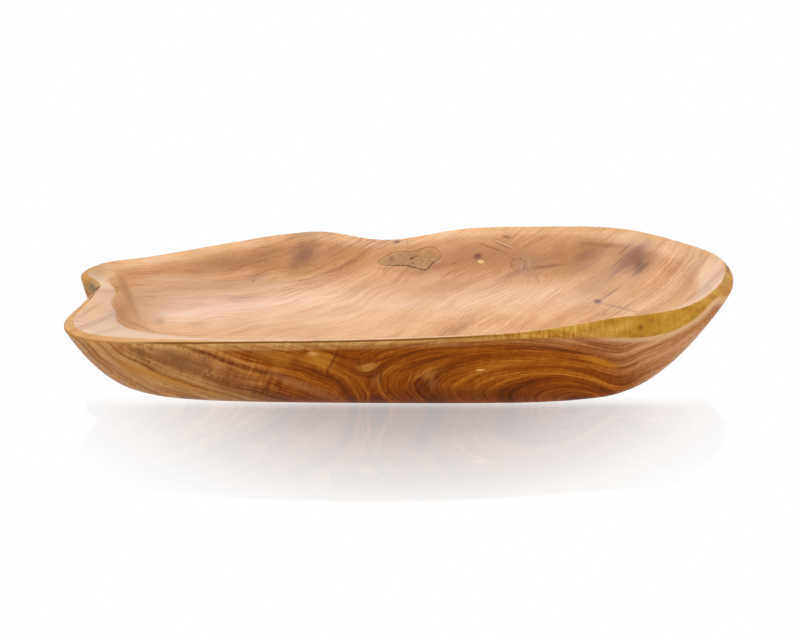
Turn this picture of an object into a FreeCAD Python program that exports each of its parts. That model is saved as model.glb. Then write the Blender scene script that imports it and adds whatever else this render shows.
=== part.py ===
"""A long, shallow serving bowl carved by hand from one block of root wood.

The block keeps the outline of the root: two lobes with a cleft between them at the left end, a
waist in the back wall, and a bark side that is sanded into a sloping facet round the right end.
The knots, the bark left in the cleft and the filler in the pits are separate solids, each seated
in its own pocket in the wood.

Millimetres. +X runs along the bowl to its right tip, +Y to the back, +Z up. The origin is in the
plane of the foot, at the middle of the overall length and width.
"""

import FreeCAD, Part
import math
import os

from FreeCAD import Vector

# Overall size of the wood
LENGTH = 420.0
WIDTH = 244.0
HEIGHT = 57.5

# The flat foot, and the flat floor of the hollow
FOOT_LENGTH = 292.0
FOOT_WIDTH = 156.0
FOOT_CENTRE = (-9.0, -6.0)
FOOT_TURN = -1.3
FLOOR_LENGTH = 262.0
FLOOR_WIDTH = 120.0
FLOOR_THICKNESS = 12.0
OVAL_POWER = 4.4

# How far out along each wall its control points stand, as shares of the way
INNER_WALL_STEPS = (0.22, 0.46, 0.68, 0.88)
OUTER_WALL_STEPS = (0.90, 0.74, 0.54, 0.34, 0.15)

# Reach of the rounding either side of each edge of the rim
CREST_ROUND = 1.6
OUTER_EDGE_ROUND = 1.6
HOLLOW_EDGE_ROUND = 8.0

# Table of offsets, round the rim from the right tip by way of the back.
# along, across: the outer edge of the rim, as shares of half the length and half the width
# edge: its height as a share of the bowl's height
# facet: run in to the crest and rise up to it, mm
# shoulder: run in from the crest to the hollow's edge and fall to it, mm
# walls: the powers by which the outer and inner walls rise, so a higher one is a steeper wall
RIM = (
    # along, across, edge, facet, shoulder, walls
    (1.00, 0.01, 0.86, (6.0, 5.5), (17.0, 6.0), (2.0, 2.3)),
    (1.01, 0.27, 0.88, (4.5, 5.0), (17.0, 6.0), (2.1, 2.3)),
    (0.97, 0.49, 0.89, (4.0, 4.0), (16.0, 6.0), (2.3, 2.2)),
    (0.88, 0.66, 0.90, (3.5, 4.0), (14.0, 5.0), (2.3, 2.1)),
    (0.78, 0.86, 0.91, (3.0, 4.0), (12.0, 5.0), (2.3, 2.0)),
    (0.64, 1.00, 0.91, (3.0, 3.5), (10.0, 4.5), (2.3, 2.0)),
    (0.48, 1.00, 0.91, (3.0, 3.0), (9.0, 4.0), (2.3, 2.0)),
    (0.31, 1.00, 0.91, (3.0, 3.0), (8.0, 4.0), (2.3, 2.0)),
    (0.17, 1.00, 0.90, (3.0, 2.5), (8.0, 4.0), (2.3, 2.0)),
    (0.06, 0.94, 0.86, (3.0, 2.0), (8.0, 4.0), (2.3, 2.0)),
    (-0.05, 0.87, 0.82, (3.0, 2.0), (8.0, 4.0), (2.3, 2.0)),
    (-0.15, 0.925, 0.83, (3.0, 2.0), (8.0, 4.0), (2.3, 2.0)),
    (-0.26, 1.03, 0.865, (3.0, 2.0), (8.0, 4.0), (2.3, 2.0)),
    (-0.38, 0.98, 0.865, (3.0, 2.0), (8.0, 4.0), (2.4, 2.0)),
    (-0.54, 0.86, 0.84, (3.0, 2.0), (8.0, 4.0), (2.6, 2.0)),
    (-0.71, 0.71, 0.81, (3.0, 2.0), (9.0, 4.0), (3.2, 2.2)),
    (-0.85, 0.57, 0.79, (3.0, 2.0), (11.0, 3.0), (4.5, 2.4)),
    (-0.97, 0.51, 0.79, (4.0, 2.0), (14.0, 3.0), (6.0, 2.6)),
    (-1.02, 0.40, 0.78, (5.0, 2.0), (15.0, 3.0), (7.0, 2.8)),
    (-1.035, 0.25, 0.77, (5.0, 2.0), (14.0, 3.0), (7.0, 3.0)),
    (-0.985, 0.17, 0.77, (3.0, 2.0), (11.0, 3.0), (5.0, 3.2)),
    (-0.95, 0.04, 0.77, (3.0, 2.0), (9.0, 3.0), (3.4, 3.4)),
    (-0.975, -0.14, 0.78, (4.0, 2.0), (11.0, 3.0), (2.8, 3.4)),
    (-0.985, -0.32, 0.78, (5.0, 2.0), (19.0, 3.0), (2.6, 3.4)),
    (-1.02, -0.52, 0.77, (6.0, 2.0), (27.0, 3.0), (2.5, 3.4)),
    (-1.00, -0.74, 0.77, (6.0, 2.0), (34.0, 3.0), (2.5, 3.2)),
    (-0.92, -0.87, 0.77, (5.0, 2.0), (34.0, 3.0), (2.5, 2.8)),
    (-0.78, -0.92, 0.78, (4.0, 2.0), (24.0, 3.0), (2.7, 2.4)),
    (-0.62, -0.965, 0.79, (3.0, 2.0), (14.0, 2.0), (2.6, 2.2)),
    (-0.45, -1.00, 0.80, (3.0, 2.0), (7.0, 1.0), (2.4, 2.0)),
    (-0.22, -1.01, 0.82, (3.0, 2.0), (5.5, 0.8), (2.3, 2.0)),
    (0.00, -1.00, 0.83, (3.0, 2.0), (5.5, 0.8), (2.3, 2.0)),
    (0.20, -0.96, 0.84, (3.0, 2.0), (5.5, 0.8), (2.3, 2.0)),
    (0.38, -0.90, 0.83, (3.0, 3.0), (5.5, 1.0), (2.3, 2.0)),
    (0.53, -0.81, 0.78, (4.0, 8.0), (6.0, 2.0), (2.4, 2.0)),
    (0.65, -0.75, 0.73, (7.0, 12.5), (5.0, 2.0), (2.4, 2.0)),
    (0.76, -0.74, 0.69, (10.0, 16.0), (8.0, 3.0), (2.2, 2.1)),
    (0.845, -0.65, 0.74, (9.5, 13.5), (12.0, 4.0), (2.0, 2.2)),
    (0.90, -0.49, 0.80, (8.5, 9.5), (16.0, 5.0), (1.9, 2.3)),
    (0.94, -0.33, 0.83, (8.0, 7.5), (18.0, 6.0), (1.9, 2.4)),
    (0.975, -0.16, 0.85, (7.0, 6.0), (17.0, 6.0), (1.9, 2.4)),
)

# What is set into the wood, each piece in a pocket of its own shape.
# around, down: where its middle lies on the skin, in stations round the rim and in rings of the wall
# outline: its edge, (to the right, up the wall) from its middle as one looks at it, mm
# depth: how far it goes into the wood, mm
SET_IN = {
    "back_wall_filler": {
        "around": 8.4,
        "down": 3.4,
        "outline": (
            (21.0, 3.0), (17.5, 7.5), (9.5, 7.5), (0.0, 5.5), (-9.0, 6.0), (-16.5, 3.0),
            (-22.0, -1.5), (-17.0, -3.5), (-7.0, -4.0), (3.0, -6.0), (10.5, -7.5), (15.0, -3.0),
        ),
        "depth": 3.0,
    },
    "pin_knot": {
        "around": 6.6,
        "down": 2.8,
        "outline": ((2.9, 0.2), (1.2, 1.6), (-1.3, 1.5), (-2.8, 0.3), (-1.4, -1.5), (1.3, -1.6)),
        "depth": 5.0,
    },
    "swirl_knot": {
        "around": 5.65,
        "down": 2.6,
        "outline": ((4.4, 0.4), (2.6, 4.0), (-1.2, 4.8), (-4.2, 2.0), (-4.0, -2.4), (0.2, -4.9), (3.4, -3.0)),
        "depth": 5.0,
    },
    "foot_knot": {
        "around": 30.9,
        "down": 15.55,
        "outline": ((3.4, 0.3), (1.6, 1.9), (-1.8, 1.6), (-3.6, -0.2), (-1.6, -1.7), (1.8, -1.6)),
        "depth": 4.0,
    },
    "cleft_bark": {
        "around": 19.3,
        "down": 12.1,
        "outline": ((6.5, 1.5), (3.0, 4.0), (-2.5, 3.6), (-7.0, 2.0), (-6.0, -2.6), (-1.0, -5.0), (4.6, -3.4)),
        "depth": 2.5,
    },
}

# How far a pocket's cutter stands out of the wood, so that it clears the curve of the wall
CUTTER_STANDOUT = 6.0

PARTS_DIR = "parts"
SIZE_TOLERANCE = 0.01
MOST_SIZE_ROUNDS = 40


def oval(length, width, angle, height):
    """Point at an eccentric angle on a full oval, centred and turned as the foot is."""
    cosine = math.cos(angle)
    sine = math.sin(angle)
    reach_x = math.copysign(abs(cosine) ** (2.0 / OVAL_POWER), cosine)
    reach_y = math.copysign(abs(sine) ** (2.0 / OVAL_POWER), sine)
    point = Vector(reach_x * length / 2.0, reach_y * width / 2.0, height)
    turned = FreeCAD.Rotation(Vector(0.0, 0.0, 1.0), FOOT_TURN).multVec(point)
    return turned + Vector(FOOT_CENTRE[0], FOOT_CENTRE[1], 0.0)


def softened(before, corner, after, reach):
    """Three control points that round a corner over a set reach, or over half of a shorter side."""
    to_before = before - corner
    to_after = after - corner
    back = min(reach, to_before.Length / 2.0)
    ahead = min(reach, to_after.Length / 2.0)
    return [
        corner + to_before.normalize() * back,
        corner,
        corner + to_after.normalize() * ahead,
    ]


def section(station, stretch, lift):
    """Control points of one section of the bowl, from the floor over the rim and down to the foot."""
    along, across, edge_share, facet, shoulder, walls = station
    angle = math.atan2(across, along)
    edge_height = edge_share * stretch.z
    crest_height = edge_height + facet[1]
    hollow_height = crest_height - shoulder[1]
    edge = Vector(along * stretch.x + lift.x, across * stretch.y + lift.y, edge_height)
    foot = oval(FOOT_LENGTH, FOOT_WIDTH, angle, 0.0)
    floor = oval(FLOOR_LENGTH, FLOOR_WIDTH, angle, FLOOR_THICKNESS)
    inward = Vector(floor.x - edge.x, floor.y - edge.y, 0.0).normalize()
    crest = edge + inward * facet[0]
    crest.z = crest_height
    hollow = crest + inward * shoulder[0]
    hollow.z = hollow_height

    inner_wall = []
    flat = INNER_WALL_STEPS[0]
    for step in INNER_WALL_STEPS:
        point = floor + (hollow - floor) * step
        share = ((step - flat) / (1.0 - flat)) ** walls[1]
        point.z = FLOOR_THICKNESS + (hollow_height - FLOOR_THICKNESS) * share
        inner_wall.append(point)
    outer_wall = []
    for step in OUTER_WALL_STEPS:
        point = foot + (edge - foot) * step
        point.z = edge_height * step ** walls[0]
        outer_wall.append(point)

    return (
        [floor]
        + inner_wall
        + softened(inner_wall[-1], hollow, crest, HOLLOW_EDGE_ROUND)
        + softened(hollow, crest, edge, CREST_ROUND)
        + softened(crest, edge, outer_wall[0], OUTER_EDGE_ROUND)
        + outer_wall
        + [foot]
    )


def skin(stretch, lift):
    """Closed band of surface from the edge of the floor, over the rim, to the edge of the foot."""
    poles = [section(station, stretch, lift) for station in RIM]
    around = len(poles)
    rings = len(poles[0])
    degree = 3
    ring_knots = rings - degree + 1
    surface = Part.BSplineSurface()
    surface.buildFromPolesMultsKnots(
        poles,
        [1] * (around + 1),
        [degree + 1] + [1] * (ring_knots - 2) + [degree + 1],
        [float(k) for k in range(around + 1)],
        [float(k) for k in range(ring_knots)],
        True,
        False,
        degree,
        degree,
    )
    return surface


def extents(surface):
    """Lowest and highest corner of the surface, from points on it."""
    u_low, u_high, v_low, v_high = surface.bounds()
    steps_u = 12 * len(RIM)
    steps_v = 120
    points = [
        surface.value(u_low + (u_high - u_low) * i / steps_u, v_low + (v_high - v_low) * j / steps_v)
        for i in range(steps_u)
        for j in range(steps_v + 1)
    ]
    low = Vector(min(p.x for p in points), min(p.y for p in points), min(p.z for p in points))
    high = Vector(max(p.x for p in points), max(p.y for p in points), max(p.z for p in points))
    return low, high


def sized_skin():
    """The surface runs a little inside its control points, so they are pushed out to the true size."""
    wanted = Vector(LENGTH, WIDTH, HEIGHT)
    stretch = Vector(LENGTH / 2.0, WIDTH / 2.0, HEIGHT)
    lift = Vector(0.0, 0.0, 0.0)
    for _ in range(MOST_SIZE_ROUNDS):
        surface = skin(stretch, lift)
        low, high = extents(surface)
        size = Vector(high.x - low.x, high.y - low.y, high.z)
        off_centre = Vector((low.x + high.x) / 2.0, (low.y + high.y) / 2.0, 0.0)
        if (wanted - size).Length < SIZE_TOLERANCE and off_centre.Length < SIZE_TOLERANCE:
            return surface
        stretch += Vector((wanted.x - size.x) / 2.0, (wanted.y - size.y) / 2.0, wanted.z - size.z)
        lift -= off_centre
    raise RuntimeError("the bowl didn't settle at its stated size")


def block(surface):
    """The carved wood with no pockets in it."""
    v_low, v_high = surface.bounds()[2:]
    band = surface.toShape()
    floor = Part.Face(Part.Wire(surface.vIso(v_low).toShape()))
    foot = Part.Face(Part.Wire(surface.vIso(v_high).toShape()))
    shell = Part.Shell([band, floor, foot])
    shell.sewShape()
    solid = Part.Solid(shell)
    if solid.Volume < 0:
        solid.reverse()
    return solid


def cutter(surface, wood, piece):
    """Straight-sided prism, square to the skin, that cuts a pocket and the piece that fills it."""
    middle = surface.value(piece["around"], piece["down"])
    outward = surface.normal(piece["around"], piece["down"])
    if wood.isInside(middle + outward * 0.5, 0.01, False):
        outward = -outward
    upward = (Vector(0.0, 0.0, 1.0) - outward * outward.z).normalize()
    rightward = upward.cross(outward)
    top = middle + outward * CUTTER_STANDOUT
    points = [top + rightward * right + upward * up for right, up in piece["outline"]]
    edge = Part.BSplineCurve()
    edge.interpolate(points, PeriodicFlag=True)
    face = Part.Face(Part.Wire(edge.toShape()))
    return face.extrude(outward * -(CUTTER_STANDOUT + piece["depth"]))


def main():
    os.makedirs(PARTS_DIR, exist_ok=True)
    surface = sized_skin()
    wood = block(surface)
    body = wood
    parts = {}
    for name, piece in SET_IN.items():
        tool = cutter(surface, wood, piece)
        parts[name] = wood.common(tool).Solids[0]
        body = body.cut(tool)
    parts["bowl_body"] = body.Solids[0]
    for name, solid in parts.items():
        solid.exportStep(os.path.join(PARTS_DIR, name + ".step"))
        print(name, "valid", solid.isValid(), "volume", round(solid.Volume, 1))


if __name__ == "__main__":
    main()
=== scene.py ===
"""A long serving bowl hollowed from one block of root wood, dressed for show.

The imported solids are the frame. The bowl's skin is remade finer than the solid's own triangles,
what is set in the wood (filler, three knots and a patch of bark) is remade piece by piece, and
every surface gets its own material. All sizes are metres unless a comment says otherwise.
"""

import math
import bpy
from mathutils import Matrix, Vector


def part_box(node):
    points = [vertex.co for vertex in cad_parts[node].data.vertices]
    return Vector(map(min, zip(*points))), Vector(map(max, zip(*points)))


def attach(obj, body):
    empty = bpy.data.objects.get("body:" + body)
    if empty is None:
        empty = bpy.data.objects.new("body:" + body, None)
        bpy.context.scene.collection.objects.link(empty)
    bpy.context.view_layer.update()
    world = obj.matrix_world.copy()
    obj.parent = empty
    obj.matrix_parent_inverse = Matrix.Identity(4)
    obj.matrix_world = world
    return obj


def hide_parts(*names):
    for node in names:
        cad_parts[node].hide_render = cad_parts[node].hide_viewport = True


bl_info = {
    "name": "Carved root wood bowl",
    "version": (1, 0, 0),
    "blender": (4, 5, 0),
    "location": "3D View > Sidebar > Bowl",
    "description": "Remakes the skin, the knots and the studio of one carved wooden bowl",
    "category": "Object",
}

import bmesh
import bpy
import numpy as np
from mathutils import Vector, kdtree
from mathutils.bvhtree import BVHTree

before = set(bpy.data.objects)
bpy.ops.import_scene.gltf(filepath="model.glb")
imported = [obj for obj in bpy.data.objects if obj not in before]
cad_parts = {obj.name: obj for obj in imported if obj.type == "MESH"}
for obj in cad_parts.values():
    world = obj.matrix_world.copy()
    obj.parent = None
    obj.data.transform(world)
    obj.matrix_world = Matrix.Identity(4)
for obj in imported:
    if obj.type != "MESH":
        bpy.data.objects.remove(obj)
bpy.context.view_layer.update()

BODY = "root"
BOWL = "bowl_body"
SET_IN = [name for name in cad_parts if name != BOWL]
MM = 0.001
TOUCHING = 0.00005  # two solids' faces this near each other lie in one joint
SPINE_HALF = 0.095  # outwards is measured from a line this long each way along the bowl
ABOVE_FOOT = 0.02  # the rim's edge is looked for above this height
RIM_REACH = 0.030  # and its crest this near the edge
CUTTER_STAND = 0.002  # a pocket's cutter stands this far out of the wood
LACQUER_IOR = 1.45
WOOD_SPECULAR = 0.04


def linear(red, green, blue):
    """A colour as light amounts, from its 0 to 255 screen values."""
    parts = [c / 255 for c in (red, green, blue)]
    return tuple(c / 12.92 if c <= 0.04045 else ((c + 0.055) / 1.055) ** 2.4 for c in parts)


# ------------------------------------------------------------------ surfaces


def merged(name):
    """A copy of a solid's surface whose loose triangles share their corners."""
    surface = bmesh.new()
    surface.from_mesh(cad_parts[name].data)
    bmesh.ops.remove_doubles(surface, verts=surface.verts, dist=1e-7)
    surface.normal_update()
    return surface


def near(tree, point):
    """How far a point is from the surface in a search tree."""
    return tree.find_nearest(point)[3]


def caps_of(name, bowl_tree):
    """The faces of a set-in piece that show, and those that lie in its pocket."""
    piece = merged(name)
    buried = [f for f in piece.faces if near(bowl_tree, f.calc_center_median()) < TOUCHING]
    return piece, buried


def whole_skin():
    """The bowl's surface with every pocket closed by the piece that fills it."""
    skin = merged(BOWL)
    bowl_tree = BVHTree.FromBMesh(skin)
    pocket = set()
    for name in SET_IN:
        piece, buried = caps_of(name, bowl_tree)
        tree = BVHTree.FromBMesh(piece)
        low, high = (Vector(corner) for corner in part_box(name))
        margin = Vector((MM, MM, MM))
        low, high = low - margin, high + margin
        for face in skin.faces:
            middle = face.calc_center_median()
            boxed = all(low[i] < middle[i] < high[i] for i in range(3))
            if boxed and near(tree, middle) < TOUCHING:
                pocket.add(face)
        bmesh.ops.delete(piece, geom=buried, context="FACES")
        cap = bpy.data.meshes.new(name + "_cap")
        piece.to_mesh(cap)
        piece.free()
        skin.from_mesh(cap)
    bmesh.ops.delete(skin, geom=list(pocket), context="FACES")
    bmesh.ops.remove_doubles(skin, verts=skin.verts, dist=2e-6)
    skin.normal_update()
    return skin


def arrays(surface):
    """Corner points, corner normals and triangles of a surface as arrays."""
    surface.verts.index_update()
    points = np.array([v.co for v in surface.verts])
    normals = np.array([v.normal for v in surface.verts])
    triangles = np.array([[v.index for v in f.verts] for f in surface.faces if len(f.verts) == 3])
    return points, normals, triangles


def longest_line(points, triangles, height):
    """The longest line on a surface along which a value given at its corners is zero."""
    above = height > 0
    mixed = triangles[np.ptp(above[triangles].astype(int), axis=1) > 0]
    links, places = {}, {}
    for triangle in mixed:
        ends = []
        for a, b in ((0, 1), (1, 2), (2, 0)):
            i, j = sorted((int(triangle[a]), int(triangle[b])))
            if above[i] != above[j]:
                share = height[i] / (height[i] - height[j])
                places[i, j] = points[i] + share * (points[j] - points[i])
                ends.append((i, j))
        links.setdefault(ends[0], []).append(ends[1])
        links.setdefault(ends[1], []).append(ends[0])
    best, used = [], set()
    starts = sorted(links, key=lambda key: (len(links[key]), key))
    for start in starts:
        if start in used:
            continue
        line, here = [], start
        while here is not None:
            used.add(here)
            line.append(here)
            here = next((k for k in links[here] if k not in used), None)
        if len(line) > len(best):
            best = line
    return np.array([places[key] for key in best])


def outwards(points):
    """Level unit vectors that point away from the bowl's long middle line."""
    away = points * (1.0, 1.0, 0.0)
    away[:, 0] -= np.clip(points[:, 0], -SPINE_HALF, SPINE_HALF)
    return away / np.maximum(np.linalg.norm(away, axis=1, keepdims=True), 1e-9)


def filled_in(line, step=0.0002):
    """A closed line's points, with more put between them so that none are further apart than step."""
    full = []
    for here, after in zip(line, np.roll(line, -1, axis=0)):
        count = max(1, int(np.linalg.norm(after - here) / step))
        full.extend(here + (after - here) * k / count for k in range(count))
    return np.array(full)


def distances(points, line):
    """How far each point is from a line given by close points."""
    tree = kdtree.KDTree(len(line))
    for index, place in enumerate(line):
        tree.insert(place, index)
    tree.balance()
    return np.array([tree.find(p)[2] for p in points])


def enclosed(points, line):
    """True for each point that lies inside a closed line, both seen from above."""
    inside = np.zeros(len(points), bool)
    x, y = points[:, 0], points[:, 1]
    for (ax, ay), (bx, by) in zip(line[:, :2], np.roll(line, -1, axis=0)[:, :2]):
        crosses = (ay > y) != (by > y)
        with np.errstate(divide="ignore", invalid="ignore"):
            at = ax + (y - ay) * (bx - ax) / (by - ay)
        inside ^= crosses & (x < at)
    return inside


def outline(name, bowl_tree):
    """Close points round the line where a set-in piece meets the bowl's skin."""
    piece, buried = caps_of(name, bowl_tree)
    hidden = set(buried)
    points = []
    for side in piece.edges:
        if len({face in hidden for face in side.link_faces}) == 2:
            start, end = (corner.co.copy() for corner in side.verts)
            count = max(1, int((end - start).length / 0.0001))
            points.extend(np.array(start.lerp(end, k / count)) for k in range(count + 1))
    piece.free()
    return np.array(points)


def keep(mesh, name, values):
    """Keeps one value at each corner of a mesh, for its material to read."""
    kept = mesh.attributes.new(name, "FLOAT", "POINT")
    kept.data.foreach_set("value", np.asarray(values, dtype=np.float32))


def corners(mesh):
    """The corner points of a mesh as an array."""
    points = np.empty(len(mesh.vertices) * 3)
    mesh.vertices.foreach_get("co", points)
    return points.reshape(-1, 3)


class Rim:
    """The two lines that the rim turns over: the crest on top, and the edge where the side starts."""

    def __init__(self, skin):
        points, normals, triangles = arrays(skin)
        high = points[:, 2] > ABOVE_FOOT
        wanted = high[triangles].all(axis=1)
        self.edge = longest_line(points, triangles[wanted], normals[:, 2])
        reach = distances(points, self.edge[::2])
        near_edge = (reach < RIM_REACH) & (normals[:, 2] > -0.3)
        slope = np.einsum("ij,ij->i", normals, outwards(points))
        wanted = near_edge[triangles].all(axis=1)
        self.crest = longest_line(points, triangles[wanted], slope)
        self.tree = BVHTree.FromBMesh(skin)

    def measure(self, points):
        """Signed distance inwards from the edge and from the crest, for each point."""
        facing = np.array([self.tree.find_nearest(p)[1][2] for p in points])
        edge_gap = distances(points, filled_in(self.edge))
        crest_gap = distances(points, filled_in(self.crest))
        edge_gap[facing < 0] *= -1
        hollow = (facing > 0) & enclosed(points, self.crest)
        crest_gap[~hollow] *= -1
        return edge_gap, crest_gap


# ------------------------------------------------------------------ fine meshes


def as_object(name, mesh):
    """A new object in the scene that holds a mesh."""
    thing = bpy.data.objects.new(name, mesh)
    bpy.context.scene.collection.objects.link(thing)
    return thing


def applied(thing):
    """The mesh that an object's modifiers make, with the modifiers taken off the object."""
    depsgraph = bpy.context.evaluated_depsgraph_get()
    mesh = bpy.data.meshes.new_from_object(thing.evaluated_get(depsgraph))
    thing.modifiers.clear()
    thing.data = mesh
    return mesh


def remeshed(name, surface, size):
    """An object with the surface rebuilt in even squares of one size."""
    mesh = bpy.data.meshes.new(name)
    surface.to_mesh(mesh)
    thing = as_object(name, mesh)
    even = thing.modifiers.new("Even squares", "REMESH")
    even.mode = "VOXEL"
    even.voxel_size = size
    applied(thing)
    return thing


def laid_on(surface, tree):
    """Moves each corner of a mesh to the nearest place on a surface."""
    for corner in surface.verts:
        corner.co = tree.find_nearest(corner.co)[0]


def divided(surface, wanted):
    """Cuts the sides of the chosen faces in two."""
    sides = {side for face in wanted for side in face.edges}
    bmesh.ops.subdivide_edges(surface, edges=list(sides), cuts=1, use_grid_fill=True)


def smoothed(mesh):
    """Shades a mesh without facets."""
    mesh.shade_smooth()


# ------------------------------------------------------------------ geometry nodes


def relief_tree():
    """A node tree that moves a surface in and out by a soft ripple, as scraping by hand leaves it."""
    tree = bpy.data.node_groups.new("Scraped ripple", "GeometryNodeTree")
    face = tree.interface
    face.new_socket("Geometry", in_out="INPUT", socket_type="NodeSocketGeometry")
    for label, value in (("Ripple Depth", 0.00015), ("Ripple Length", 0.03), ("Seed", 3.0)):
        face.new_socket(label, in_out="INPUT", socket_type="NodeSocketFloat").default_value = value
    face.new_socket("Finish", in_out="INPUT", socket_type="NodeSocketMaterial")
    face.new_socket("Geometry", in_out="OUTPUT", socket_type="NodeSocketGeometry")
    node, link = tree.nodes.new, tree.links.new

    def maths(operation, first, second):
        """One Math node, fed by sockets or by plain numbers."""
        made = node("ShaderNodeMath")
        made.operation = operation
        for slot, value in zip(made.inputs, (first, second)):
            if isinstance(value, float):
                slot.default_value = value
            else:
                link(value, slot)
        return made.outputs[0]

    given, made = node("NodeGroupInput"), node("NodeGroupOutput")
    place, facing = node("GeometryNodeInputPosition"), node("GeometryNodeInputNormal")
    noise = node("ShaderNodeTexNoise")
    noise.noise_dimensions = "4D"
    noise.inputs["Detail"].default_value = 1.5
    link(place.outputs["Position"], noise.inputs["Vector"])
    link(given.outputs["Seed"], noise.inputs["W"])
    link(maths("DIVIDE", 1.0, given.outputs["Ripple Length"]), noise.inputs["Scale"])
    depth = maths("MULTIPLY", maths("SUBTRACT", noise.outputs[0], 0.5), given.outputs["Ripple Depth"])
    height, ground = node("ShaderNodeSeparateXYZ"), node("ShaderNodeMapRange")
    ground.interpolation_type = "SMOOTHSTEP"
    ground.inputs["From Max"].default_value = 0.004
    link(place.outputs["Position"], height.inputs[0])
    link(height.outputs["Z"], ground.inputs["Value"])
    lift = node("ShaderNodeVectorMath")
    lift.operation = "SCALE"
    link(facing.outputs["Normal"], lift.inputs[0])
    link(maths("MULTIPLY", depth, ground.outputs[0]), lift.inputs["Scale"])
    moved, real = node("GeometryNodeSetPosition"), node("GeometryNodeRealizeInstances")
    coat = node("GeometryNodeSetMaterial")
    link(given.outputs["Geometry"], moved.inputs["Geometry"])
    link(lift.outputs["Vector"], moved.inputs["Offset"])
    link(moved.outputs["Geometry"], real.inputs["Geometry"])
    link(real.outputs["Geometry"], coat.inputs["Geometry"])
    link(given.outputs["Finish"], coat.inputs["Material"])
    link(coat.outputs["Geometry"], made.inputs["Geometry"])
    return tree


def rippled(thing, tree, finish, **sizes):
    """Runs the ripple tree on an object and keeps the plain mesh."""
    ripple = thing.modifiers.new("Scraped ripple", "NODES")
    ripple.node_group = tree
    for item in tree.interface.items_tree:
        if item.in_out == "INPUT" and item.name == "Finish":
            ripple[item.identifier] = finish
        elif item.in_out == "INPUT" and item.name in sizes:
            ripple[item.identifier] = sizes[item.name]
    return applied(thing)


# ------------------------------------------------------------------ material bench


def chosen(group, name):
    """A colour as it stands in the panel."""
    return tuple(getattr(getattr(bpy.context.scene, group), name))


class Wire:
    """One value on its way through a material. Python's operators on it add the Math nodes."""

    def __init__(self, bench, socket):
        self.bench, self.socket = bench, socket

    def _math(self, operation, *values):
        return self.bench.math(operation, *values)

    def __add__(self, other):
        return self._math("ADD", self, other)

    def __radd__(self, other):
        return self._math("ADD", other, self)

    def __sub__(self, other):
        return self._math("SUBTRACT", self, other)

    def __rsub__(self, other):
        return self._math("SUBTRACT", other, self)

    def __mul__(self, other):
        return self._math("MULTIPLY", self, other)

    def __rmul__(self, other):
        return self._math("MULTIPLY", other, self)

    def __truediv__(self, other):
        return self._math("DIVIDE", self, other)

    def __rtruediv__(self, other):
        return self._math("DIVIDE", other, self)

    def __pow__(self, other):
        return self._math("POWER", self, other)

    def __neg__(self):
        return self._math("MULTIPLY", self, -1.0)

    def __abs__(self):
        return self._math("ABSOLUTE", self)

    def sin(self):
        return self._math("SINE", self)

    def most(self, other):
        return self._math("MAXIMUM", self, other)

    def least(self, other):
        return self._math("MINIMUM", self, other)

    def step(self, low, high):
        """0 where the value is low, 1 where it is high, and a smooth rise between."""
        settings = {"interpolation_type": "SMOOTHSTEP"}
        limits = {"Value": self, "From Min": low, "From Max": high}
        return self.bench.node("ShaderNodeMapRange", settings, limits)


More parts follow.
